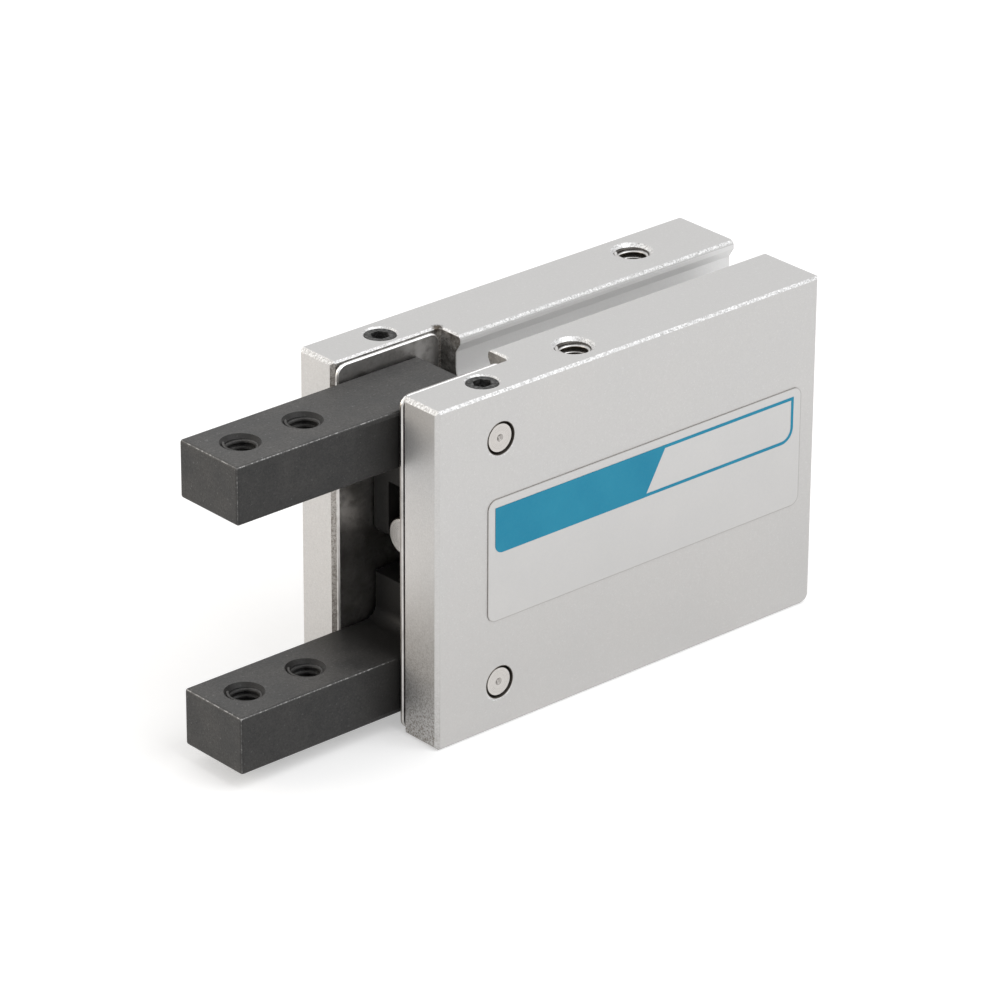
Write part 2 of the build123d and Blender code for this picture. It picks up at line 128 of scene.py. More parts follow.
def sums(tree, operation, *values, clamp=False):
    """The result of one sum, such as MULTIPLY, of links or numbers."""
    inputs = dict(enumerate(values))
    return add_node(tree, "ShaderNodeMath", inputs, operation=operation, use_clamp=clamp).outputs[0]


def times(tree, first, *others):
    """The product of links or numbers."""
    for other in others:
        first = sums(tree, "MULTIPLY", first, other)
    return first


def length_across(tree, first, second):
    """The distance that two lengths at right angles make."""
    squares = [sums(tree, "POWER", value, 2.0) for value in (first, second)]
    return sums(tree, "SQRT", sums(tree, "ADD", *squares))


def vector_sums(tree, operation, *values):
    """The vector result of one sum, such as SUBTRACT, of links or triples."""
    inputs = dict(enumerate(values))
    return add_node(tree, "ShaderNodeVectorMath", inputs, operation=operation).outputs[0]


def scaled(tree, vector, factor):
    """A vector or colour times a number."""
    inputs = {0: vector, "Scale": factor}
    return add_node(tree, "ShaderNodeVectorMath", inputs, operation="SCALE").outputs[0]


def length_of(tree, vector):
    """The length of a vector."""
    return add_node(tree, "ShaderNodeVectorMath", {0: vector}, operation="LENGTH").outputs["Value"]


def axes_of(tree, vector):
    """The X, Y and Z outputs of a vector."""
    return add_node(tree, "ShaderNodeSeparateXYZ", {0: vector}).outputs


def true_normal(tree):
    """The X, Y and Z outputs of the surface's own normal."""
    return axes_of(tree, add_node(tree, "ShaderNodeNewGeometry").outputs["Normal"])


def remap(tree, value, low, high, new_low=0.0, new_high=1.0):
    """The value stretched from one range to another, and held inside the new one."""
    inputs = {
        "Value": value, "From Min": low, "From Max": high, "To Min": new_low, "To Max": new_high,
    }
    return add_node(tree, "ShaderNodeMapRange", inputs).outputs["Result"]


def noise_of(tree, dimensions="3D", **inputs):
    """The value of a noise pattern."""
    return add_node(tree, "ShaderNodeTexNoise", inputs, noise_dimensions=dimensions).outputs["Fac"]


def mix_colours(tree, amount, first, second):
    """The first colour where amount is 0, the second where it is 1."""
    node = add_node(tree, "ShaderNodeMix", data_type="RGBA")
    connect(tree, node.inputs[0], amount)
    connect(tree, node.inputs[6], first)
    connect(tree, node.inputs[7], second)
    return node.outputs[2]


def grey(level, warmth=0.0):
    """A grey with a little more red and less blue as warmth rises."""
    return (level * (1 + warmth), level, level * (1 - warmth), 1.0)


print("helpers ready")

# %% [markdown]
# Effects that several finishes share are node groups. The first finds edges: the Bevel node gives
# the normal that a rounded edge would have, and where that differs from the true one there is an
# edge. Noise breaks the band up into dashes, and the block paints them as glints. The second finds
# the faces that look along none of the axes: chamfers, countersinks, and parts of every round wall.

# %% Group for the band of edge glints
def new_group(name, vectors, numbers, results):
    """An empty shader node group with named vector and number inputs, and number results."""
    group = bpy.data.node_groups.new(name, "ShaderNodeTree")
    sockets = [(socket, "INPUT", "NodeSocketVector") for socket in vectors]
    sockets += [(socket, "INPUT", "NodeSocketFloat") for socket in numbers]
    sockets += [(socket, "OUTPUT", "NodeSocketFloat") for socket in results]
    for socket, side, kind in sockets:
        group.interface.new_socket(socket, in_out=side, socket_type=kind)
    given = group.nodes.new("NodeGroupInput").outputs
    result = group.nodes.new("NodeGroupOutput").inputs
    return group, given, result


def use_group(tree, group, **inputs):
    """Places a node group in a network and sets its inputs; underscores stand for spaces."""
    node = tree.nodes.new("ShaderNodeGroup")
    node.node_tree = group
    for name, value in inputs.items():
        connect(tree, node.inputs[name.replace("_", " ")], value)
    return node.outputs


def build_edge_glint_band():
    """Mask of the edges, broken up by noise."""
    numbers = ["Width", "Breakup", "Grain"]
    tree, given, result = new_group("edge_glint_band", ["Place"], numbers, ["Mask"])
    radius = times(tree, given["Width"], mm)
    rounded = add_node(tree, "ShaderNodeBevel", {"Radius": radius}, samples=6).outputs["Normal"]
    face_normal = add_node(tree, "ShaderNodeNewGeometry").outputs["Normal"]
    dot = add_node(
        tree, "ShaderNodeVectorMath", {0: rounded, 1: face_normal}, operation="DOT_PRODUCT",
    )
    barely_bent, well_bent = 0.985, 0.80
    edge = remap(tree, dot.outputs["Value"], barely_bent, well_bent)
    noise = noise_of(tree, Vector=given["Place"], Scale=given["Grain"], Detail=3.0)
    fully_worn = 0.62
    range_of_wear = sums(tree, "SUBTRACT", 1.0, given["Breakup"])
    first_wear = sums(tree, "SUBTRACT", fully_worn, range_of_wear)
    patchy = remap(tree, noise, first_wear, fully_worn)
    tree.links.new(sums(tree, "MULTIPLY", edge, patchy, clamp=True), result["Mask"])
    return tree


def build_broken_edges():
    """Mask of the faces that look along none of the three axes, as chamfers and countersinks do."""
    tree, given, result = new_group("broken_edges", [], ["Limit"], ["Mask"])
    normal = true_normal(tree)
    x, y, z = (sums(tree, "ABSOLUTE", normal[axis]) for axis in "XYZ")
    largest = sums(tree, "MAXIMUM", sums(tree, "MAXIMUM", x, y), z)
    tree.links.new(sums(tree, "LESS_THAN", largest, given["Limit"]), result["Mask"])
    return tree


edge_glint_band = build_edge_glint_band()
broken_edges = build_broken_edges()
print("groups:", edge_glint_band.name, broken_edges.name)

# %% [markdown]
# Bead blasting leaves tiny dents side by side, each of which catches the light its own way. The
# third group gives them a height for the bump, a value from dent to dent, and the few dents that
# flash, which the block paints bright as glints. The fourth gives soft patches, as handling and
# anodising leave.

# %% Groups for blasted grain and soft patches
def build_blasted_grain():
    """Dents of one size: their height, their shade, and the ones that flash."""
    results = ["Height", "Shade", "Flash"]
    tree, given, result = new_group("blasted_grain", ["Place"], ["Dent size"], results)
    scale = sums(tree, "DIVIDE", 1.0, given["Dent size"])
    cells = add_node(tree, "ShaderNodeTexVoronoi", {"Vector": given["Place"], "Scale": scale})
    split = add_node(tree, "ShaderNodeSeparateColor", {"Color": cells.outputs["Color"]})
    noise = noise_of(tree, Vector=given["Place"], Scale=times(tree, scale, 0.6), Detail=2.0)
    height = sums(tree, "ADD", cells.outputs["Distance"], noise)
    tree.links.new(height, result["Height"])
    shade = sums(tree, "ADD", times(tree, split.outputs[0], 0.5), noise)
    tree.links.new(remap(tree, shade, 0.3, 1.2), result["Shade"])
    tree.links.new(remap(tree, split.outputs[1], 0.93, 1.0), result["Flash"])
    return tree


def build_soft_patches():
    """Slow clouds of light and dark."""
    tree, given, result = new_group("soft_patches", ["Place"], ["Size", "Seed"], ["Value"])
    scale = sums(tree, "DIVIDE", 1.0, given["Size"])
    noise = noise_of(
        tree, "4D", Vector=given["Place"], W=given["Seed"], Scale=scale, Detail=4.0, Roughness=0.55,
    )
    tree.links.new(remap(tree, noise, 0.3, 0.7), result["Value"])
    return tree


def cloudy(tree, place, size, seed):
    """The value of soft patches of a size in mm."""
    return use_group(tree, soft_patches, Place=place, Size=size, Seed=seed)["Value"]


blasted_grain = build_blasted_grain()
soft_patches = build_soft_patches()
print("groups:", blasted_grain.name, soft_patches.name)

# %% [markdown]
# A lathe leaves rings. The fifth group measures how far a point is from a turning axis and runs
# noise along that distance, so the rings are round on any pin, whatever its direction.

# %% Group for turned rings
def build_turned_rings():
    """Fine rings round an axis through a centre."""
    vectors = ["Place", "Centre", "Axis"]
    tree, given, result = new_group("turned_rings", vectors, ["Spacing"], ["Rings", "Radius"])
    arm = vector_sums(tree, "SUBTRACT", given["Place"], given["Centre"])
    radius = length_of(tree, vector_sums(tree, "CROSS_PRODUCT", arm, given["Axis"]))
    step = sums(tree, "DIVIDE", radius, given["Spacing"])
    noise = noise_of(tree, "1D", W=step, Scale=1.0, Detail=2.0)
    tree.links.new(noise, result["Rings"])
    tree.links.new(radius, result["Radius"])
    return tree


turned_rings = build_turned_rings()
print("group:", turned_rings.name)

# %% [markdown]
# Every finish starts the same way: a Principled shader, and the Object coordinates turned into
# millimetres, so that a size in a pattern is a size on the object.

# %% Start a material
def new_material(name, metallic=0.0, roughness=0.5, specular=0.5):
    """A material with one Principled shader: the material, tree, shader and place in mm."""
    material = bpy.data.materials.new(name)
    material.use_nodes = True
    tree = material.node_tree
    shader = tree.nodes["Principled BSDF"]
    shader.inputs["Metallic"].default_value = metallic
    shader.inputs["Roughness"].default_value = roughness
    shader.inputs["Specular IOR Level"].default_value = specular
    here = add_node(tree, "ShaderNodeTexCoord").outputs["Object"]
    return material, tree, shader, scaled(tree, here, 1 / mm)


def feed(tree, shader, colour, roughness):
    """Links a colour and a roughness to the shader."""
    tree.links.new(colour, shader.inputs["Base Color"])
    tree.links.new(roughness, shader.inputs["Roughness"])


def bump(tree, shader, height, depth, strength=1.0):
    """Feeds a height pattern, of a depth in mm, to the shader's normal."""
    inputs = {"Height": height, "Distance": depth * mm, "Strength": strength}
    tree.links.new(add_node(tree, "ShaderNodeBump", inputs).outputs[0], shader.inputs["Normal"])


def coat(material, *names):
    """Gives CAD pieces a material in place of their plain one."""
    for name in names:
        parts[name].data.materials.clear()
        parts[name].data.materials.append(material)


print("ready to make finishes")

# %% [markdown]
# The block is bead-blasted and clear anodised: pale grey, satin, with a fine grain. Its broken
# edges glitter, because the beads struck them from all sides; the glints on the edges that look up
# are painted. Inside the slot the cutter's marks were not blasted away, so that region is darker,
# brownish and mottled. The block is one solid with one material, so each region is found by its
# place, and these helpers give a mask for each.

# %% Masks for the regions of the block
def between(tree, value, low, high):
    """One where a value lies between two limits, nought elsewhere."""
    above = sums(tree, "GREATER_THAN", value, low)
    return times(tree, above, sums(tree, "LESS_THAN", value, high))


def slot_mask(tree, place):
    """One inside the slot between the cheeks, nought on the rest of the block."""
    margin = 0.01
    half_width = (slot_half_width + slot_mouth_chamfer) / mm - margin
    half_height = (block_height / 2 - slot_edge_chamfer) / mm - margin
    split = axes_of(tree, place)
    in_width = sums(tree, "LESS_THAN", sums(tree, "ABSOLUTE", split["Y"]), half_width)
    in_height = sums(tree, "LESS_THAN", sums(tree, "ABSOLUTE", split["Z"]), half_height)
    in_depth = sums(tree, "LESS_THAN", split["X"], slot_end_x / mm + margin)
    return times(tree, in_width, in_height, in_depth)


def hole_mask(tree, place):
    """One on the walls of the tapped holes behind the slot, below their bright mouths, for painted
    shade.
    """
    mouth_depth = 0.27
    from_slot = 1.0
    inner_y, outer_y = 3.4, block_high.y / mm - 0.6
    inner_z, outer_z = 7.0, block_high.z / mm - mouth_depth
    split = axes_of(tree, place)
    across = between(tree, sums(tree, "ABSOLUTE", split["Y"]), inner_y, outer_y)
    along = between(tree, split["X"], slot_end_x / mm + from_slot, -mouth_depth)
    upright = between(tree, sums(tree, "ABSOLUTE", split["Z"]), inner_z, outer_z)
    return times(tree, across, along, upright)


def groove_mask(tree, place):
    """One inside the two sensor grooves, below their lips and short of their ends."""
    half_width = 3.3
    from_slot, from_rear = 0.1, 0.05
    inner_z, outer_z = 8.0, block_high.z / mm - 0.35
    split = axes_of(tree, place)
    across = sums(tree, "LESS_THAN", sums(tree, "ABSOLUTE", split["Y"]), half_width)
    along = between(tree, split["X"], slot_end_x / mm + from_slot, -from_rear)
    upright = between(tree, sums(tree, "ABSOLUTE", split["Z"]), inner_z, outer_z)
    return times(tree, across, along, upright)


def ring_masks(tree, place):
    """The gap round each pin end for painted shade, and the crescent below it for a painted
    highlight.
    """
    gap_width, crescent_width = 0.09, 0.16
    crescent_top, crescent_full = -0.5, -1.1
    split = axes_of(tree, place)
    along = sums(tree, "SUBTRACT", split["X"], pin_centre.x / mm)
    upright = sums(tree, "SUBTRACT", sums(tree, "ABSOLUTE", split["Z"]), pin_centre.z / mm)
    radius = length_across(tree, along, upright)
    mouth_radius = pin_radius / mm + gap_width
    gap = sums(tree, "LESS_THAN", radius, mouth_radius)
    below = times(tree, upright, sums(tree, "SIGN", split["Z"]))
    crescent = between(tree, radius, mouth_radius, mouth_radius + crescent_width)
    return gap, times(tree, crescent, remap(tree, below, crescent_top, crescent_full))


def corner_stain_mask(tree, place, shade):
    """One in the dirt at the slot's far inner corner on top, with a ragged edge."""
    corner = (slot_end_x / mm - 0.2, slot_half_width / mm, block_high.z / mm)
    ragged_by, outer_radius, inner_radius = 0.25, 0.65, 0.35
    from_corner = length_of(tree, vector_sums(tree, "SUBTRACT", place, corner))
    ragged = sums(tree, "ADD", from_corner, times(tree, shade, ragged_by))
    return remap(tree, ragged, outer_radius, inner_radius)


def low_shade_mask(tree, place):
    """How much painted shade darkens the near side: none near the top, most low down."""
    clean_above, most_below, most = 5.0, -10.0, 0.14
    return remap(tree, axes_of(tree, place)["Z"], clean_above, most_below, 0.0, most)


def near_front_foot_mask(tree, place, looks_forward):
    """One at the foot of the near cheek's front face, fading upwards."""
    slot_side, full_from, fades_out_at = -3.0, -4.0, 2.0
    split = axes_of(tree, place)
    near = remap(tree, split["Y"], slot_side, full_from)
    low = sums(tree, "POWER", remap(tree, split["Z"], fades_out_at, block_low.z / mm), 2.0)
    return times(tree, looks_forward, near, low)


print("masks of the block ready")

# %% [markdown]
# Dirt, and painted light and shade, lie over the clean metal in layers, so the colour is built up
# the same way: it starts clean, and each layer has its own mask and strength. The blasted faces get
# one such colour and the slot gets another.

# %% Colours of the block
# Painted shade: the near side is darker towards the bottom.
low_shade_colour = grey(0.30, 0.10)


def lay_over(tree, colour, mask, strength, layer):
    """Lays another colour over one, where a mask says, with a strength of 0 to 1."""
    return mix_colours(tree, times(tree, mask, strength), colour, layer)


def blasted_colour(tree, place, grain, beads, patches, looks_up, looks_forward, in_grooves):
    """Pale grey with a darker grain, painted shade low on the near side, darker at the front's
    foot.
    """
    # The grain is painted darker on faces that look forward: real grain, with painted shade added.
    dent_and_front_shade = remap(tree, looks_forward, 0.0, 1.0, 0.20, 0.45)
    outer_face_y = near_y / mm + 0.05
    colour = mix_colours(tree, patches, grey(0.595, 0.012), grey(0.625, 0.020))
    # Painted shade: faces that look up are made a little darker.
    colour = mix_colours(tree, looks_up, colour, grey(0.585, 0.008))
    colour = lay_over(tree, colour, grain["Shade"], dent_and_front_shade, grey(0.42, 0.02))
    # Painted glints: a few dents are painted nearly white.
    colour = lay_over(tree, colour, grain["Flash"], 0.12, grey(0.95))
    on_near_side = sums(tree, "LESS_THAN", axes_of(tree, place)["Y"], outer_face_y)
    # Painted shade, darker low on the near side.
    colour = lay_over(tree, colour, on_near_side, low_shade_mask(tree, place), low_shade_colour)
    specks = remap(tree, beads["Shade"], 0.35, 0.75, 0.15, 1.0)
    # Darker brown specks towards the foot of the near cheek's front face.
    colour = lay_over(tree, colour, near_front_foot_mask(tree, place, looks_forward), specks, grey(0.16, 0.16))
    # Painted light: the walls inside the grooves are made paler.
    return lay_over(tree, colour, in_grooves, 0.7, grey(0.82))


def slot_colour(tree, place, beads, stains, far_mouth):
    """Dark and light mottling, with painted light on the near wall, and a greyer edge at the far
    mouth.
    """
    mottling = mix_colours(tree, stains, grey(0.06, 0.12), grey(0.50, 0.04))
    dents = remap(tree, beads["Shade"], 0.3, 0.8, 0.0, 0.5)
    mottling = mix_colours(tree, dents, mottling, grey(0.06, 0.10))
    # Painted light: the slot's near wall is made paler.
    near_wall_light = remap(tree, axes_of(tree, place)["Y"], -1.0, -3.5, 0.0, 0.75)
    mottling = mix_colours(tree, near_wall_light, mottling, grey(0.60, 0.02))
    # Painted glints: a few dents in the slot are painted paler.
    mottling = lay_over(tree, mottling, beads["Flash"], 0.4, grey(0.75))
    dotted = remap(tree, beads["Shade"], 0.35, 0.7)
    far_edge = mix_colours(tree, dotted, grey(0.56, 0.05), grey(0.30, 0.10))
    return lay_over(tree, mottling, far_mouth, 0.8, far_edge)


print("colours of the block ready")

# %% [markdown]
# The block's material puts the layers together: the blasted colour, the painted glints on the edges
# that look up, the slot, and last the stain in the corner, and painted shade in the holes and gaps.
# The glittering edges are also a little smoother and more deeply dented than the faces.

# %% Anodised block
def painted_glint_mask(tree, place, beads, broken, looks_up, in_grooves, crescent):
    """Painted glints on edges that look up, and in the crescents below the pin ends."""
    edge_band = use_group(tree, edge_glint_band, Place=place, Width=0.30, Breakup=0.70, Grain=5.0)
    no_groove = sums(tree, "SUBTRACT", 1.0, in_grooves)
    edges = times(tree, sums(tree, "MAXIMUM", edge_band["Mask"], broken["Mask"]), looks_up, no_groove)
    # Painted highlight: the crescents below the pin ends are dotted bright.
    return sums(tree, "MAXIMUM", edges, times(tree, crescent, beads["Shade"]))


def make_anodised_block():
    """Blasted and anodised aluminium with mottled walls in the slot."""
    material, tree, shader, place = new_material("anodised_block", metallic=0.60)
    grain = use_group(tree, blasted_grain, Place=place, Dent_size=0.09)
    beads = use_group(tree, blasted_grain, Place=place, Dent_size=0.10)
    patches = cloudy(tree, place, size=9.0, seed=3.0)
    stains = cloudy(tree, place, size=0.7, seed=7.0)
    broken = use_group(tree, broken_edges, Limit=0.9)
    normal = true_normal(tree)
    looks_up = remap(tree, normal["Z"], 0.1, 0.6, 0.10, 1.0)
    looks_forward = remap(tree, normal["X"], -0.5, -0.9)
    far_side = sums(tree, "GREATER_THAN", axes_of(tree, place)["Y"], 0.0)
    far_mouth = times(tree, remap(tree, normal["X"], -0.2, -0.5), broken["Mask"], far_side)
    inside = slot_mask(tree, place)
    in_grooves = groove_mask(tree, place)
    pin_gap, crescent = ring_masks(tree, place)
    painted_glints = painted_glint_mask(tree, place, beads, broken, looks_up, in_grooves, crescent)

    looks = (looks_up, looks_forward, in_grooves)
    colour = blasted_colour(tree, place, grain, beads, patches, *looks)
    # Painted glints: the edges that look up are dotted from pale grey to near white.
    dotted = remap(tree, beads["Shade"], 0.10, 0.90)
    bright = mix_colours(tree, dotted, grey(0.42, 0.01), grey(0.90))
    colour = mix_colours(tree, painted_glints, colour, bright)
    colour = mix_colours(tree, inside, colour, slot_colour(tree, place, beads, stains, far_mouth))
    stain = corner_stain_mask(tree, place, beads["Shade"])
    colour = mix_colours(tree, stain, colour, grey(0.05, 0.25))
    # Painted shade: the walls of the tapped holes are near black.
    colour = lay_over(tree, colour, hole_mask(tree, place), 0.95, grey(0.03, 0.20))
    # Painted shade: the gap round each pin end is dark brown.
    colour = lay_over(tree, colour, pin_gap, 0.9, grey(0.06, 0.25))
    roughness = remap(tree, patches, 0.0, 1.0, 0.44, 0.52)
    feed(tree, shader, colour, sums(tree, "SUBTRACT", roughness, times(tree, painted_glints, 0.08)))
    rough_places = sums(tree, "MAXIMUM", painted_glints, inside)
    bead_height = times(tree, beads["Height"], rough_places, 2.0)
    bump(tree, shader, sums(tree, "ADD", grain["Height"], bead_height), 0.010, 0.5)
    return material


anodised_block = make_anodised_block()
coat(anodised_block, "body")
print("finish:", anodised_block.name)

# %% [markdown]
# The fingers are steel with a black oxide skin. It is thin and dull, and rubs off along the outer
# edges, where dots of bare steel show, painted brighter where they look up. Towards the slot the
# colour has painted shade, and the faces have painted light: the tops lightest, the sides darkest.

# %% Masks for the fingers
finger_low, finger_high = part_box("upper_finger")
finger_half_width = finger_high.y


def outer_edge_zone(tree, place):
    """One near the long edges and the tip of a finger, outside the slot, nought elsewhere."""
    reach, fades_over = 0.30, 2.0
    split = axes_of(tree, place)
    across = sums(tree, "ABSOLUTE", split["Y"])
    at_side = sums(tree, "GREATER_THAN", across, finger_half_width / mm - reach)
    at_tip = sums(tree, "LESS_THAN", split["X"], finger_low.x / mm + reach)
    outside = remap(tree, split["X"], front_x / mm - fades_over, front_x / mm, 1.0, 0.0)
    return times(tree, sums(tree, "MAXIMUM", at_side, at_tip), outside)


def slot_shade_mask(tree, place):
    """Painted shade that rises towards the slot, on all but the outermost skin of a finger."""
    starts_before, full_after, strongest, skin = 4.5, 0.5, 0.88, 0.4
    split = axes_of(tree, place)
    front = front_x / mm
    slot_shade = remap(tree, split["X"], front - starts_before, front + full_after, 0.0, strongest)
    height = sums(tree, "ABSOLUTE", split["Z"])
    return times(tree, slot_shade, sums(tree, "LESS_THAN", height, finger_high.z / mm - skin))


def painted_face_light(tree, place, normal):
    """Painted light by face: the top lightest, less towards the slot, then the tip, then the sides.
    """
    sides, tip, top_at_tip, top_at_slot = 0.66, 0.84, 0.62, 0.46
    along = axes_of(tree, place)["X"]
    on_top = remap(tree, along, finger_low.x / mm, front_x / mm, top_at_tip, top_at_slot)
    top_light = times(tree, remap(tree, normal["Z"], 0.3, 0.9), on_top)
    return sums(tree, "ADD", top_light, remap(tree, normal["X"], -0.5, -0.9, sides, tip))


print("finger's tip at mm:", round(finger_low.x / mm, 2))

# %% [markdown]
# The fingers' colour starts as a cloudy near-black with a darker grain. Specks, painted light by
# face, painted shade towards the slot and in the hole mouths, and the bare dots on the edges are
# laid over it in that order. The set screws get the same skin, blacker and with more specks.

# %% Black oxide
def make_black_oxide(name, level=0.070, wear=0.8, speck_from=0.80, speck=0.25):
    """Blackened steel with bare dots along its outer edges, and painted light and shade."""
    material, tree, shader, place = new_material(name, metallic=0.10, specular=0.16)
    grain = use_group(tree, blasted_grain, Place=place, Dent_size=0.10)
    clouds = cloudy(tree, place, size=2.2, seed=8.0)
    dots = cloudy(tree, place, size=0.22, seed=4.0)
    broken = use_group(tree, broken_edges, Limit=0.80)
    normal = true_normal(tree)
    zone = outer_edge_zone(tree, place)
    in_cone = times(tree, broken["Mask"], sums(tree, "SUBTRACT", 1.0, zone))

    colour = mix_colours(tree, clouds, grey(level * 0.9), grey(level * 1.45, 0.03))
    colour = lay_over(tree, colour, grain["Shade"], 0.6, grey(level * 0.45))
    specks = remap(tree, dots, speck_from, 1.0, 0.0, speck)
    colour = mix_colours(tree, specks, colour, grey(level * 4))
    # Painted light: each face's colour is scaled by the way it looks.
    face_lit_colour = scaled(tree, colour, painted_face_light(tree, place, normal))
    # Painted shade: near black towards the slot and in the hole mouths.
    dark = sums(tree, "MAXIMUM", slot_shade_mask(tree, place), times(tree, in_cone, 0.7))
    colour = mix_colours(tree, dark, face_lit_colour, grey(0.014, 0.05))
    dotted = remap(tree, dots, 0.45, 0.80, 0.18, 1.0)
    lit = remap(tree, normal["Z"], 0.1, 0.5, 0.35, 1.0)
    # Bare dots: real wear, painted brighter where the edge looks up.
    bare_and_lit = times(tree, broken["Mask"], dotted, zone, lit)
    colour = lay_over(tree, colour, bare_and_lit, wear, grey(0.50, 0.01))
    feed(tree, shader, colour, remap(tree, clouds, 0.0, 1.0, 0.42, 0.55))
    bump(tree, shader, grain["Height"], 0.010, 0.6)
    return material


black_oxide = make_black_oxide("black_oxide")
screw_black = make_black_oxide("screw_black", level=0.030, wear=0.30, speck_from=0.35, speck=0.9)
coat(black_oxide, "upper_finger", "lower_finger", "retaining_ring")
coat(screw_black, "set_screws")
print("finishes:", black_oxide.name, screw_black.name)

# %% [markdown]
# The liners are strips of rolled steel. Rolling leaves faint lines along the strip, the fingers
# leave scuffs, and cutting leaves the edges bright; where they look up, a painted highlight makes
# them brighter still. Noise that is stretched along X gives the lines. On the near strip, the front
# face between its bright edges is duller.

# %% Rolled steel
def make_rolled_steel():
    """Rolled strip: faint lines, dull scuffs, bright cut edges with painted highlights, dull near
    front.
    """
    material, tree, shader, place = new_material("rolled_steel", metallic=1.0)
    stretch = (0.8, 6.0, 4.0)
    stretched = vector_sums(tree, "MULTIPLY", place, stretch)
    lines = noise_of(tree, Vector=stretched, Scale=1.0, Detail=4.0)
    patches = cloudy(tree, place, size=2.8, seed=5.0)
    scuffs = cloudy(tree, place, size=0.9, seed=2.0)
    broken = use_group(tree, broken_edges, Limit=0.9)
    normal = true_normal(tree)
    near_side = sums(tree, "LESS_THAN", axes_of(tree, place)["Y"], 0.0)
    front_face = remap(tree, normal["X"], -0.90, -0.98, 0.0, 0.80)

    colour = mix_colours(tree, patches, grey(0.40, 0.03), grey(0.58, 0.02))
    scuffed = remap(tree, scuffs, 0.45, 0.9, 0.0, 0.7)
    colour = mix_colours(tree, scuffed, colour, grey(0.20, 0.05))
    colour = mix_colours(tree, remap(tree, lines, 0.45, 0.7, 0.0, 0.15), colour, grey(0.30))
    colour = lay_over(tree, colour, near_side, front_face, grey(0.20, 0.10))
    edge = mix_colours(tree, patches, grey(0.42, 0.03), grey(0.66, 0.03))
    # Painted highlight: the cut edges that look up are paler still.
    edge = mix_colours(tree, remap(tree, normal["Z"], 0.2, 0.6), edge, grey(0.92, 0.01))
    colour = mix_colours(tree, broken["Mask"], colour, edge)
    feed(tree, shader, colour, remap(tree, scuffs, 0.2, 0.9, 0.32, 0.50))
    bump(tree, shader, lines, 0.003, 0.3)
    return material


rolled_steel = make_rolled_steel()
coat(rolled_steel, "near_liner", "far_liner", "seal_washer")
print("finish:", rolled_steel.name)

# %% [markdown]
# Pins, rod and piston are turned or ground. Each has rings round its own axis, so each gets its own
# copy of the finish, with the centre read from its box. The end cap shares the piston's axis.

# %% Turned metals
across_block = (0.0, 1.0, 0.0)
along_block = (1.0, 0.0, 0.0)


def make_turned_metal(name, node, axis, dark, light, roughness=0.32):
    """Turned metal: rings round the middle of a piece's box, and painted shade on its sloping
    faces.
    """
    material, tree, shader, place = new_material(name, metallic=1.0)
    low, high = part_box(node)
    centre = tuple((low + high) / 2 / mm)
    rings = use_group(tree, turned_rings, Place=place, Centre=centre, Axis=axis, Spacing=0.05)
    patches = cloudy(tree, place, size=0.8, seed=2.0)
    broken = use_group(tree, broken_edges, Limit=0.9)
    colour = mix_colours(tree, remap(tree, rings["Rings"], 0.35, 0.65), dark, light)
    colour = lay_over(tree, colour, patches, 0.25, dark)
    # Painted shade: the sloping faces, such as the chamfer round a pin end, are darkened.
    painted_shade = remap(tree, rings["Radius"], 0.4, 0.6, 0.35, 0.92)
    colour = lay_over(tree, colour, broken["Mask"], painted_shade, grey(0.05, 0.15))
    smooth, rough = roughness - 0.06, roughness + 0.08
    feed(tree, shader, colour, remap(tree, rings["Rings"], 0.3, 0.7, smooth, rough))
    bump(tree, shader, rings["Rings"], 0.006, 0.6)
    return material


pin_shades = grey(0.46, 0.05), grey(0.66, 0.04)
rod_shades = grey(0.50, 0.03), grey(0.62, 0.03)
alloy_shades = grey(0.50), grey(0.66)
bronze_shades = (0.40, 0.26, 0.12, 1), (0.58, 0.40, 0.20, 1)
for pin in ("upper_pivot_pin", "lower_pivot_pin", "drive_pin"):
    coat(make_turned_metal(pin + "_steel", pin, across_block, *pin_shades), pin)
coat(make_turned_metal("rod_steel", "piston_rod", along_block, *rod_shades), "piston_rod")
turned_alloy = make_turned_metal("turned_alloy", "piston", along_block, *alloy_shades, 0.38)
coat(turned_alloy, "piston", "end_cap")
bush_bronze = make_turned_metal("bush_bronze", "rod_bush", along_block, *bronze_shades, 0.45)
coat(bush_bronze, "rod_bush")
print("turned pieces finished")

# %% [markdown]
# Seals and bumpers are moulded rubber, nearly black, with a dusty bloom. The magnet is pressed
# powder: dark, matt and speckled.

# %% Rubber and ferrite
def make_dull_black(name, level, speck, roughness):
    """A dull dark finish with a paler bloom and specks over it."""
    material, tree, shader, place = new_material(name, specular=0.35)
    grain = use_group(tree, blasted_grain, Place=place, Dent_size=0.16)
    patches = cloudy(tree, place, size=1.5, seed=1.0)
    colour = lay_over(tree, grey(level), patches, 0.4, grey(speck, 0.03))
    colour = lay_over(tree, colour, grain["Flash"], 0.3, grey(speck * 2))
    feed(tree, shader, colour, remap(tree, patches, 0.0, 1.0, roughness, roughness + 0.12))
    bump(tree, shader, grain["Height"], 0.008, 0.5)
    return material


seal_rubber = make_dull_black("seal_rubber", level=0.018, speck=0.05, roughness=0.55)
coat(seal_rubber, "piston_seal", "rod_seal", "front_bumper", "rear_bumper", "cap_o_ring")
magnet_ferrite = make_dull_black("magnet_ferrite", level=0.045, speck=0.11, roughness=0.62)
coat(magnet_ferrite, "magnet_ring")
print("rubber and ferrite finished")

# %% [markdown]
# The label is a thin film with a satin, silvery face. Its cut edge shows as a fine line. The faces
# that look sideways, which their normal tells, are darker, and so is a narrow rim of the face.
# The distance to a rounded rectangle gives that rim.

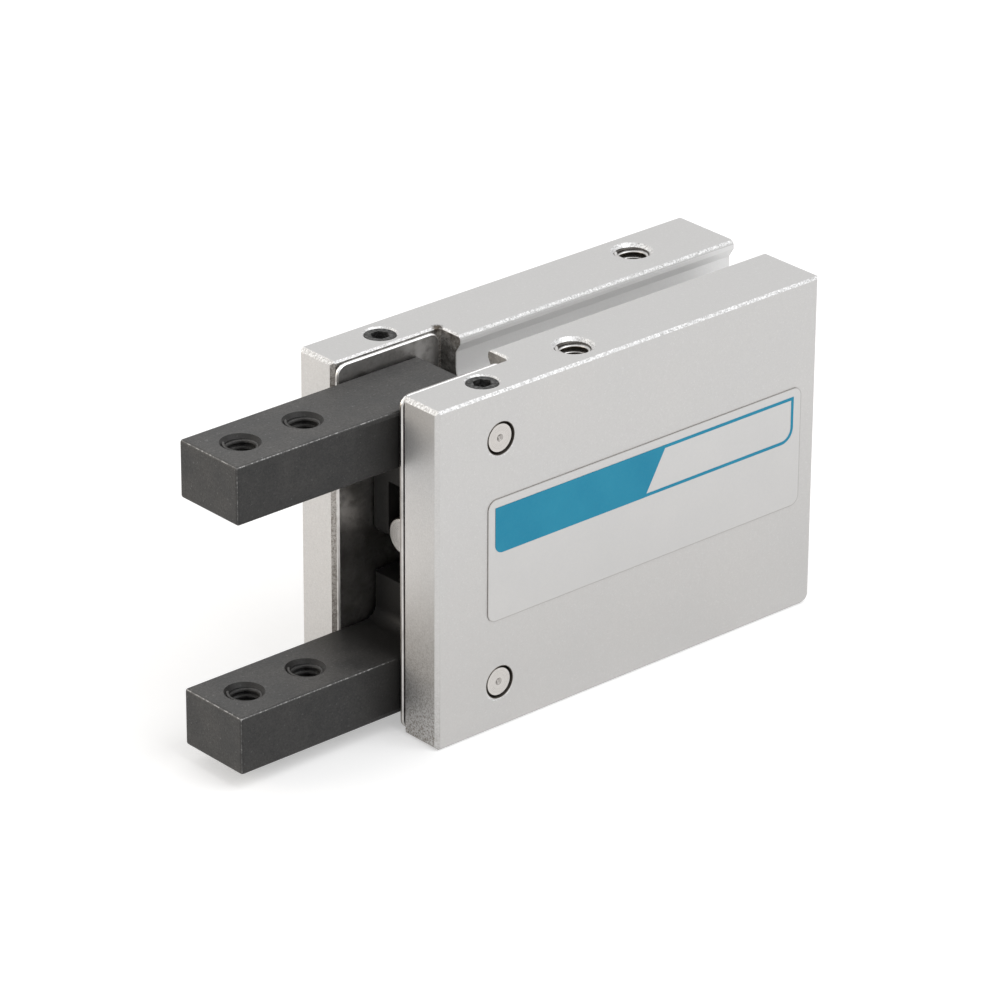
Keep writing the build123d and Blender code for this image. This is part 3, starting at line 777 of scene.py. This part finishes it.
# %% Label film
def label_line_mask(tree, place):
    """One in a fine line round the label's rim, from the distance to a rounded rectangle."""
    corner, line_width = 0.8, 0.07
    middle_of_label = (label_low + label_high) / 2 / mm
    half = (label_high - label_low) / 2 / mm
    split = axes_of(tree, place)
    over = []
    for axis, letter in ((0, "X"), (2, "Z")):
        away = sums(tree, "ABSOLUTE", sums(tree, "SUBTRACT", split[letter], middle_of_label[axis]))
        over.append(sums(tree, "SUBTRACT", away, half[axis] - corner))
    outside = length_across(tree, *(sums(tree, "MAXIMUM", value, 0.0) for value in over))
    inside = sums(tree, "MINIMUM", sums(tree, "MAXIMUM", *over), 0.0)
    distance = sums(tree, "SUBTRACT", sums(tree, "ADD", outside, inside), corner)
    return sums(tree, "GREATER_THAN", distance, -line_width)


def make_label_film():
    """Satin film with a darker rim and cut edge, and painted shade lower down as on the block."""
    material, tree, shader, place = new_material("label_film", metallic=0.75)
    grain = use_group(tree, blasted_grain, Place=place, Dent_size=0.14)
    patches = cloudy(tree, place, size=6.0, seed=6.0)
    facing = true_normal(tree)["Y"]
    cut_edge = sums(tree, "LESS_THAN", sums(tree, "ABSOLUTE", facing), 0.5)
    line = label_line_mask(tree, place)
    colour = mix_colours(tree, patches, grey(0.595, 0.010), grey(0.625, 0.014))
    colour = lay_over(tree, colour, grain["Shade"], 0.15, grey(0.50))
    # Painted shade: the film is darker towards the bottom, as the block's near side is.
    colour = mix_colours(tree, low_shade_mask(tree, place), colour, low_shade_colour)
    colour = lay_over(tree, colour, line, 0.50, grey(0.30, 0.06))
    colour = mix_colours(tree, cut_edge, colour, grey(0.16, 0.12))
    feed(tree, shader, colour, remap(tree, patches, 0.0, 1.0, 0.42, 0.48))
    bump(tree, shader, grain["Height"], 0.004, 0.5)
    return material


coat(make_label_film(), "label")
print("label finished")

# %% [markdown]
# The print on the label is a blue bar with a slanting end, and a thin blue frame that goes on from
# it to the right. It could be painted in the material, but flat shapes laid on the film stay sharp
# at any size. This cell only works out the outlines, in X and Z.

# %% Outline of the print
print_left = front_x + 5.6 * mm
print_right = front_x + 36.1 * mm
print_top = 4.5 * mm
print_bottom = 0.75 * mm
print_line = 0.26 * mm
left_corner = 0.7 * mm
right_corner = 1.2 * mm
slant_top = front_x + 22.75 * mm
slant_bottom = front_x + 20.6 * mm
ink_thickness = 0.012 * mm
corner_steps = 10


def rounded_corner(x, z, radius, start_degrees):
    """Points of a quarter circle about a centre, turning anticlockwise."""
    points = []
    for step in range(corner_steps + 1):
        angle = math.radians(start_degrees + 90 * step / corner_steps)
        points.append((x + radius * math.cos(angle), z + radius * math.sin(angle)))
    return points


def lower_left_corner(inset=0.0):
    """The rounded lower left corner of the print, moved inwards by inset."""
    x, z = print_left + left_corner, print_bottom + left_corner
    return rounded_corner(x, z, left_corner - inset, 180)


def frame_outline(inset):
    """The frame's outline, anticlockwise from its upper left corner, moved inwards by inset."""
    x, z = print_right - right_corner, print_bottom + right_corner
    lower_right = rounded_corner(x, z, right_corner - inset, 270)
    top = print_top - inset
    upper_left, upper_right = (print_left + inset, top), (print_right - inset, top)
    return [upper_left] + lower_left_corner(inset) + lower_right + [upper_right]


def bar_outline():
    """The solid blue bar, with its rounded lower left corner and its slanting end."""
    slanting_end = [(slant_bottom, print_bottom), (slant_top, print_top)]
    return [(print_left, print_top)] + lower_left_corner() + slanting_end


print("points in the frame's outline:", len(frame_outline(0.0)))

# %% [markdown]
# Each shape of the print is a closed solid, partly sunk in the film so that no gap shows. The bar
# is a plate, and the frame is a band between two outlines, so bmesh needs only rings of vertices
# and the faces between them.

# %% Helpers for flat solids
def new_piece(name, mesh, body, *materials):
    """Makes an object of a mesh whose vertices are already in place; it rides on a body."""
    piece = bpy.data.objects.new(name, mesh)
    bpy.context.scene.collection.objects.link(piece)
    for material in materials:
        mesh.materials.append(material)
    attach(piece, body)


def add_ring_of_vertices(shell, outline, y):
    """One vertex for each point of an outline, at a depth y."""
    return [shell.verts.new((x, y, z)) for x, z in outline]


def join_rings(shell, first, second):
    """Side faces between two rings of vertices."""
    count = len(first)
    for index in range(count):
        after = (index + 1) % count
        shell.faces.new((first[index], first[after], second[after], second[index]))


def add_plate(shell, outline, y, thickness):
    """A solid plate of an outline, from y outwards towards the viewer."""
    inner = add_ring_of_vertices(shell, outline, y)
    outer = add_ring_of_vertices(shell, outline, y - thickness)
    shell.faces.new(inner)
    shell.faces.new(outer)
    join_rings(shell, inner, outer)


def add_frame(shell, outside, inside, y, thickness):
    """A solid frame between two outlines with the same number of points."""
    corners = ((outside, 0), (outside, thickness), (inside, thickness), (inside, 0))
    rings = [add_ring_of_vertices(shell, outline, y - depth) for outline, depth in corners]
    for index, ring in enumerate(rings):
        join_rings(shell, ring, rings[(index + 1) % len(rings)])


print("helpers for flat solids ready")

# %% [markdown]
# The ink is an even blue with a slight grain. The bar is made a little thicker than the frame, so
# where the two overlap only the bar's face shows.

# %% Build the print
def make_label_blue():
    """Printing ink: an even blue with a slightly open grain."""
    material, tree, shader, place = new_material("label_blue", specular=0.3)
    grain = use_group(tree, blasted_grain, Place=place, Dent_size=0.12)
    patches = cloudy(tree, place, size=4.0, seed=9.0)
    deep, even, pale = (0.001, 0.225, 0.375, 1), (0.010, 0.265, 0.415, 1), (0.05, 0.31, 0.42, 1)
    colour = mix_colours(tree, patches, deep, even)
    colour = lay_over(tree, colour, grain["Shade"], 0.18, pale)
    feed(tree, shader, colour, remap(tree, grain["Shade"], 0.0, 1.0, 0.42, 0.50))
    bump(tree, shader, grain["Height"], 0.003, 0.4)
    return material


sunk_y = label_low.y + ink_thickness
frame_thickness = 2 * ink_thickness
bar_thickness = 3 * ink_thickness
shell = bmesh.new()
add_frame(shell, frame_outline(0.0), frame_outline(print_line), sunk_y, frame_thickness)
add_plate(shell, bar_outline(), sunk_y, bar_thickness)
bmesh.ops.recalc_face_normals(shell, faces=shell.faces)
print_mesh = bpy.data.meshes.new("label_print")
shell.to_mesh(print_mesh)
shell.free()
new_piece("label_print", print_mesh, "block", make_label_blue())
print("faces in the print:", len(print_mesh.polygons))

# %% [markdown]
# The tapped holes need threads, and a thread is the same ridge again and again, so one geometry
# node tree makes them all. It winds a helix, sweeps a small diamond along it, and sets a copy at
# every mouth. Half of the diamond sits in the wall, and the other half is the ridge.

# %% Geometry node tree for threads
points_per_turn = 40
thread_inputs = {
    "Mouths": "Geometry", "Bore radius": "Float", "Pitch": "Float", "Start depth": "Float",
    "End depth": "Float", "Ridge height": "Float", "Turn mouth": "Vector", "Finish": "Material",
}


def build_thread_tree():
    """Helical ridges below every point of the mesh, along one direction."""
    tree = bpy.data.node_groups.new("thread_ridges", "GeometryNodeTree")
    for name, kind in thread_inputs.items():
        tree.interface.new_socket(name, in_out="INPUT", socket_type="NodeSocket" + kind)
    tree.interface.new_socket("Threads", in_out="OUTPUT", socket_type="NodeSocketGeometry")
    given = tree.nodes.new("NodeGroupInput").outputs
    result = tree.nodes.new("NodeGroupOutput").inputs

    length = sums(tree, "SUBTRACT", given["End depth"], given["Start depth"])
    turns = sums(tree, "DIVIDE", length, given["Pitch"])
    helix = add_node(tree, "GeometryNodeCurveSpiral", {
        "Resolution": points_per_turn, "Rotations": turns, "Start Radius": given["Bore radius"],
        "End Radius": given["Bore radius"], "Height": length,
    })
    upright = add_node(tree, "GeometryNodeSetCurveNormal", {"Curve": helix.outputs[0]}, mode="Z_UP")
    diamond = add_node(tree, "GeometryNodeCurvePrimitiveCircle", {
        "Resolution": 4, "Radius": given["Ridge height"],
    })
    ridge = add_node(tree, "GeometryNodeCurveToMesh", {
        "Curve": upright.outputs[0], "Profile Curve": diamond.outputs[0], "Fill Caps": True,
    })
    below_mouth = times(tree, given["End depth"], -1.0)
    down = add_node(tree, "ShaderNodeCombineXYZ", {"Z": below_mouth})
    lowered = add_node(tree, "GeometryNodeTransform", {
        "Geometry": ridge.outputs[0], "Translation": down.outputs[0],
    })
    turn = add_node(tree, "FunctionNodeEulerToRotation", {0: given["Turn mouth"]})
    copies = add_node(tree, "GeometryNodeInstanceOnPoints", {
        "Points": given["Mouths"], "Instance": lowered.outputs[0], "Rotation": turn.outputs[0],
    })
    real = add_node(tree, "GeometryNodeRealizeInstances", {0: copies.outputs[0]})
    smooth = add_node(tree, "GeometryNodeSetShadeSmooth", {
        "Geometry": real.outputs[0], "Shade Smooth": True,
    })
    finish = add_node(tree, "GeometryNodeSetMaterial", {
        "Geometry": smooth.outputs[0], "Material": given["Finish"],
    })
    tree.links.new(finish.outputs[0], result[0])
    return tree


thread_tree = build_thread_tree()
print("tree:", thread_tree.name, "with", len(thread_tree.nodes), "nodes")

# %% [markdown]
# The modifier sits on a mesh of bare points, one at each mouth of a group of holes. Its result is
# turned into a plain mesh and the maker is removed, so each group of holes ends as one piece. The
# threads of a finger ride on that finger, and all others ride on the block.

# %% Make threads below a group of mouths
ridge_per_pitch = 0.36


def make_threads(name, body, mouths, finish, radius, pitch, start, end, turn=(0.0, 0.0, 0.0)):
    """Threads below a list of hole mouths; the turn points the hole away from upright."""
    points = bpy.data.meshes.new(name + "_mouths")
    points.from_pydata(mouths, [], [])
    maker = bpy.data.objects.new(name + "_maker", points)
    bpy.context.scene.collection.objects.link(maker)
    modifier = maker.modifiers.new("threads", "NODES")
    modifier.node_group = thread_tree
    values = {
        "Bore radius": radius, "Pitch": pitch, "Start depth": start, "End depth": end,
        "Ridge height": ridge_per_pitch * pitch, "Turn mouth": turn, "Finish": finish,
    }
    for item in thread_tree.interface.items_tree:
        if item.name in values:
            modifier[item.identifier] = values[item.name]
    made = maker.evaluated_get(bpy.context.evaluated_depsgraph_get())
    mesh = bpy.data.meshes.new_from_object(made)
    bpy.data.objects.remove(maker)
    mesh.name = name
    new_piece(name, mesh, body)
    print(name, "faces:", len(mesh.polygons))


print("height of the ridges in pitches:", ridge_per_pitch)

# %% [markdown]
# A tap leaves bright flanks, and the colour paints light and shade on them. So the colour follows
# the way a face looks: a painted highlight towards the mouth of an upright hole, and brown painted
# shade elsewhere.

# %% Cut thread
def make_cut_thread():
    """Painted highlight on flanks towards an upright hole's mouth, and brown painted shade below
    them.
    """
    material, tree, shader, place = new_material("cut_thread", metallic=1.0, roughness=0.4)
    patches = cloudy(tree, place, size=0.5, seed=2.0)
    facing = true_normal(tree)["Z"]
    side = sums(tree, "SIGN", axes_of(tree, place)["Z"])
    outwards = remap(tree, times(tree, facing, side), 0.1, 0.6)
    # Painted highlight on faces towards the mouth, painted shade on the rest.
    lit_flank = mix_colours(tree, patches, grey(0.50, 0.02), grey(0.75, 0.01))
    painted_shade = mix_colours(tree, patches, grey(0.05, 0.30), grey(0.12, 0.25))
    colour = mix_colours(tree, outwards, painted_shade, lit_flank)
    feed(tree, shader, colour, remap(tree, patches, 0.0, 1.0, 0.34, 0.46))
    return material


cut_thread = make_cut_thread()
print("finish:", cut_thread.name)

# %% [markdown]
# All holes are for M3 screws. The ridge has to end somewhere below the mouth. The part of a turn
# in the number of turns puts that end, in an upright hole, on the wall nearest the camera, where
# the mouth hides it.

# %% Cut the threads in the fingers
m3 = {"radius": 1.25 * mm, "pitch": 0.5 * mm}
turns_to_hidden_end = 7.625
thread_length = turns_to_hidden_end * m3["pitch"]
finger_start = 0.15 * mm
finger_bar_height = 4.65 * mm
finger_hole_places = [finger_low.x + from_tip * mm for from_tip in (3.0, 8.8)]
finger_threads = {"start": finger_start, "end": finger_start + thread_length, **m3}
upper_mouths = [(x, 0, finger_high.z) for x in finger_hole_places]
lower_mouths = [(x, 0, finger_bar_height - finger_high.z) for x in finger_hole_places]
make_threads("upper_finger_threads", "upper_jaw", upper_mouths, black_oxide, **finger_threads)
make_threads("lower_finger_threads", "lower_jaw", lower_mouths, black_oxide, **finger_threads)

# %% [markdown]
# The block has a hole on each side of the groove on top, two more underneath, four in its rear
# face for mounting, and two air ports in its far side. Each group faces its own way.

# %% Cut the threads in the block
downwards = (math.pi, 0.0, 0.0)
rearwards = (0.0, math.pi / 2, 0.0)
to_far_side = (-math.pi / 2, 0.0, 0.0)
hole_y = 5.2 * mm
rear_hole_z = 9.0 * mm
block_start = 0.25 * mm
block_threads = {"start": block_start, "end": block_start + thread_length, **m3}
port_threads = {"start": 0.38 * mm, "end": 2.6 * mm, "turn": to_far_side, **m3}

top_places = [(front_x + 15.6 * mm, -hole_y), (front_x + 31.1 * mm, hole_y)]
top_mouths = [(x, y, block_high.z) for x, y in top_places]
bottom_mouths = [(x, -y, block_low.z) for x, y in top_places]
rear_mouths = [(block_high.x, y * hole_y, z * rear_hole_z) for y in (-1, 1) for z in (-1, 1)]
port_mouths = [(front_x + station * mm, block_high.y, 0) for station in (17.9, 30.3)]

make_threads("top_hole_threads", "block", top_mouths, cut_thread, **block_threads)
block_threads["turn"] = downwards
make_threads("bottom_hole_threads", "block", bottom_mouths, cut_thread, **block_threads)
block_threads["turn"] = rearwards
make_threads("rear_hole_threads", "block", rear_mouths, cut_thread, **block_threads)
make_threads("air_port_threads", "block", port_mouths, cut_thread, **port_threads)

# %% [markdown]
# The floor is plain and pale. The camera sees it as white, straight and in reflections: through
# Light Path it gains a little light for those rays alone, so the soft shadow under the block stays.

# %% Floor
def seen_rays(tree):
    """One for what shows straight, in a reflection or through glass, nought for soft light."""
    rays = add_node(tree, "ShaderNodeLightPath").outputs
    seen = sums(tree, "MAXIMUM", rays["Is Camera Ray"], rays["Is Glossy Ray"])
    return sums(tree, "MAXIMUM", seen, rays["Is Transmission Ray"])


def make_pale_floor():
    """A matt pale floor that the camera sees as white."""
    material, tree, shader, place = new_material("pale_floor", roughness=0.8, specular=0.2)
    patches = cloudy(tree, place, size=60.0, seed=4.0)
    colour = mix_colours(tree, patches, grey(0.72), grey(0.74))
    tree.links.new(colour, shader.inputs["Base Color"])
    glow = mix_colours(tree, seen_rays(tree), (0, 0, 0, 1), grey(0.40))
    tree.links.new(glow, shader.inputs["Emission Color"])
    shader.inputs["Emission Strength"].default_value = 1.0
    return material


floor_half = 1.5
floor_gap = 0.02 * mm
floor_z = block_low.z - floor_gap
signs = ((-1, -1), (1, -1), (1, 1), (-1, 1))
floor_corners = [(x * floor_half, y * floor_half, floor_z) for x, y in signs]
floor_mesh = bpy.data.meshes.new("floor")
floor_mesh.from_pydata(floor_corners, [], [(0, 1, 2, 3)])
floor_mesh.materials.append(make_pale_floor())
floor = bpy.data.objects.new("floor", floor_mesh)
bpy.context.scene.collection.objects.link(floor)
print("floor at mm:", round(floor_z / mm, 2))

# %% [markdown]
# The room around the floor is an even light. It shows as white to the same rays, and lights the
# object less strongly than that, so that the lamps still give each face its own level.

# %% Room
ambient = 0.66
world = bpy.data.worlds.new("room")
world.use_nodes = True
bpy.context.scene.world = world
room = world.node_tree
strength = remap(room, seen_rays(room), 0.0, 1.0, ambient, 1.0)
room.links.new(strength, room.nodes["Background"].inputs["Strength"])
room.nodes["Background"].inputs["Color"].default_value = (1, 1, 1, 1)
bpy.context.scene.view_settings.view_transform = "Standard"
print("light of the room:", ambient)

# %% [markdown]
# Two large soft lamps are enough. One is high on the near side and gives the top and the label's
# side their light. A warmer one shines on the front faces from the far side, so that the cheeks
# keep it out of the slot and the fingers shade the near cheek.

# %% Lamps
middle = (block_low + block_high) / 2
lamp_distance = 0.7


def add_lamp(name, direction, size, watts, colour):
    """A square soft lamp that looks at the middle of the block."""
    data = bpy.data.lights.new(name, "AREA")
    data.size = size
    data.energy = watts
    data.color = colour
    lamp = bpy.data.objects.new(name, data)
    bpy.context.scene.collection.objects.link(lamp)
    towards = Vector(direction).normalized()
    lamp.location = middle + lamp_distance * towards
    lamp.rotation_euler = towards.to_track_quat("Z", "Y").to_euler()
    print(name, "gives", watts, "W")


cool_white = (0.98, 0.99, 1.0)
warm_white = (1.0, 0.90, 0.77)
add_lamp("high_lamp", direction=(0.15, -0.66, 1.0), size=0.5, watts=2.05, colour=cool_white)
add_lamp("front_lamp", direction=(-1.0, 0.7, 0.35), size=0.4, watts=1.75, colour=warm_white)
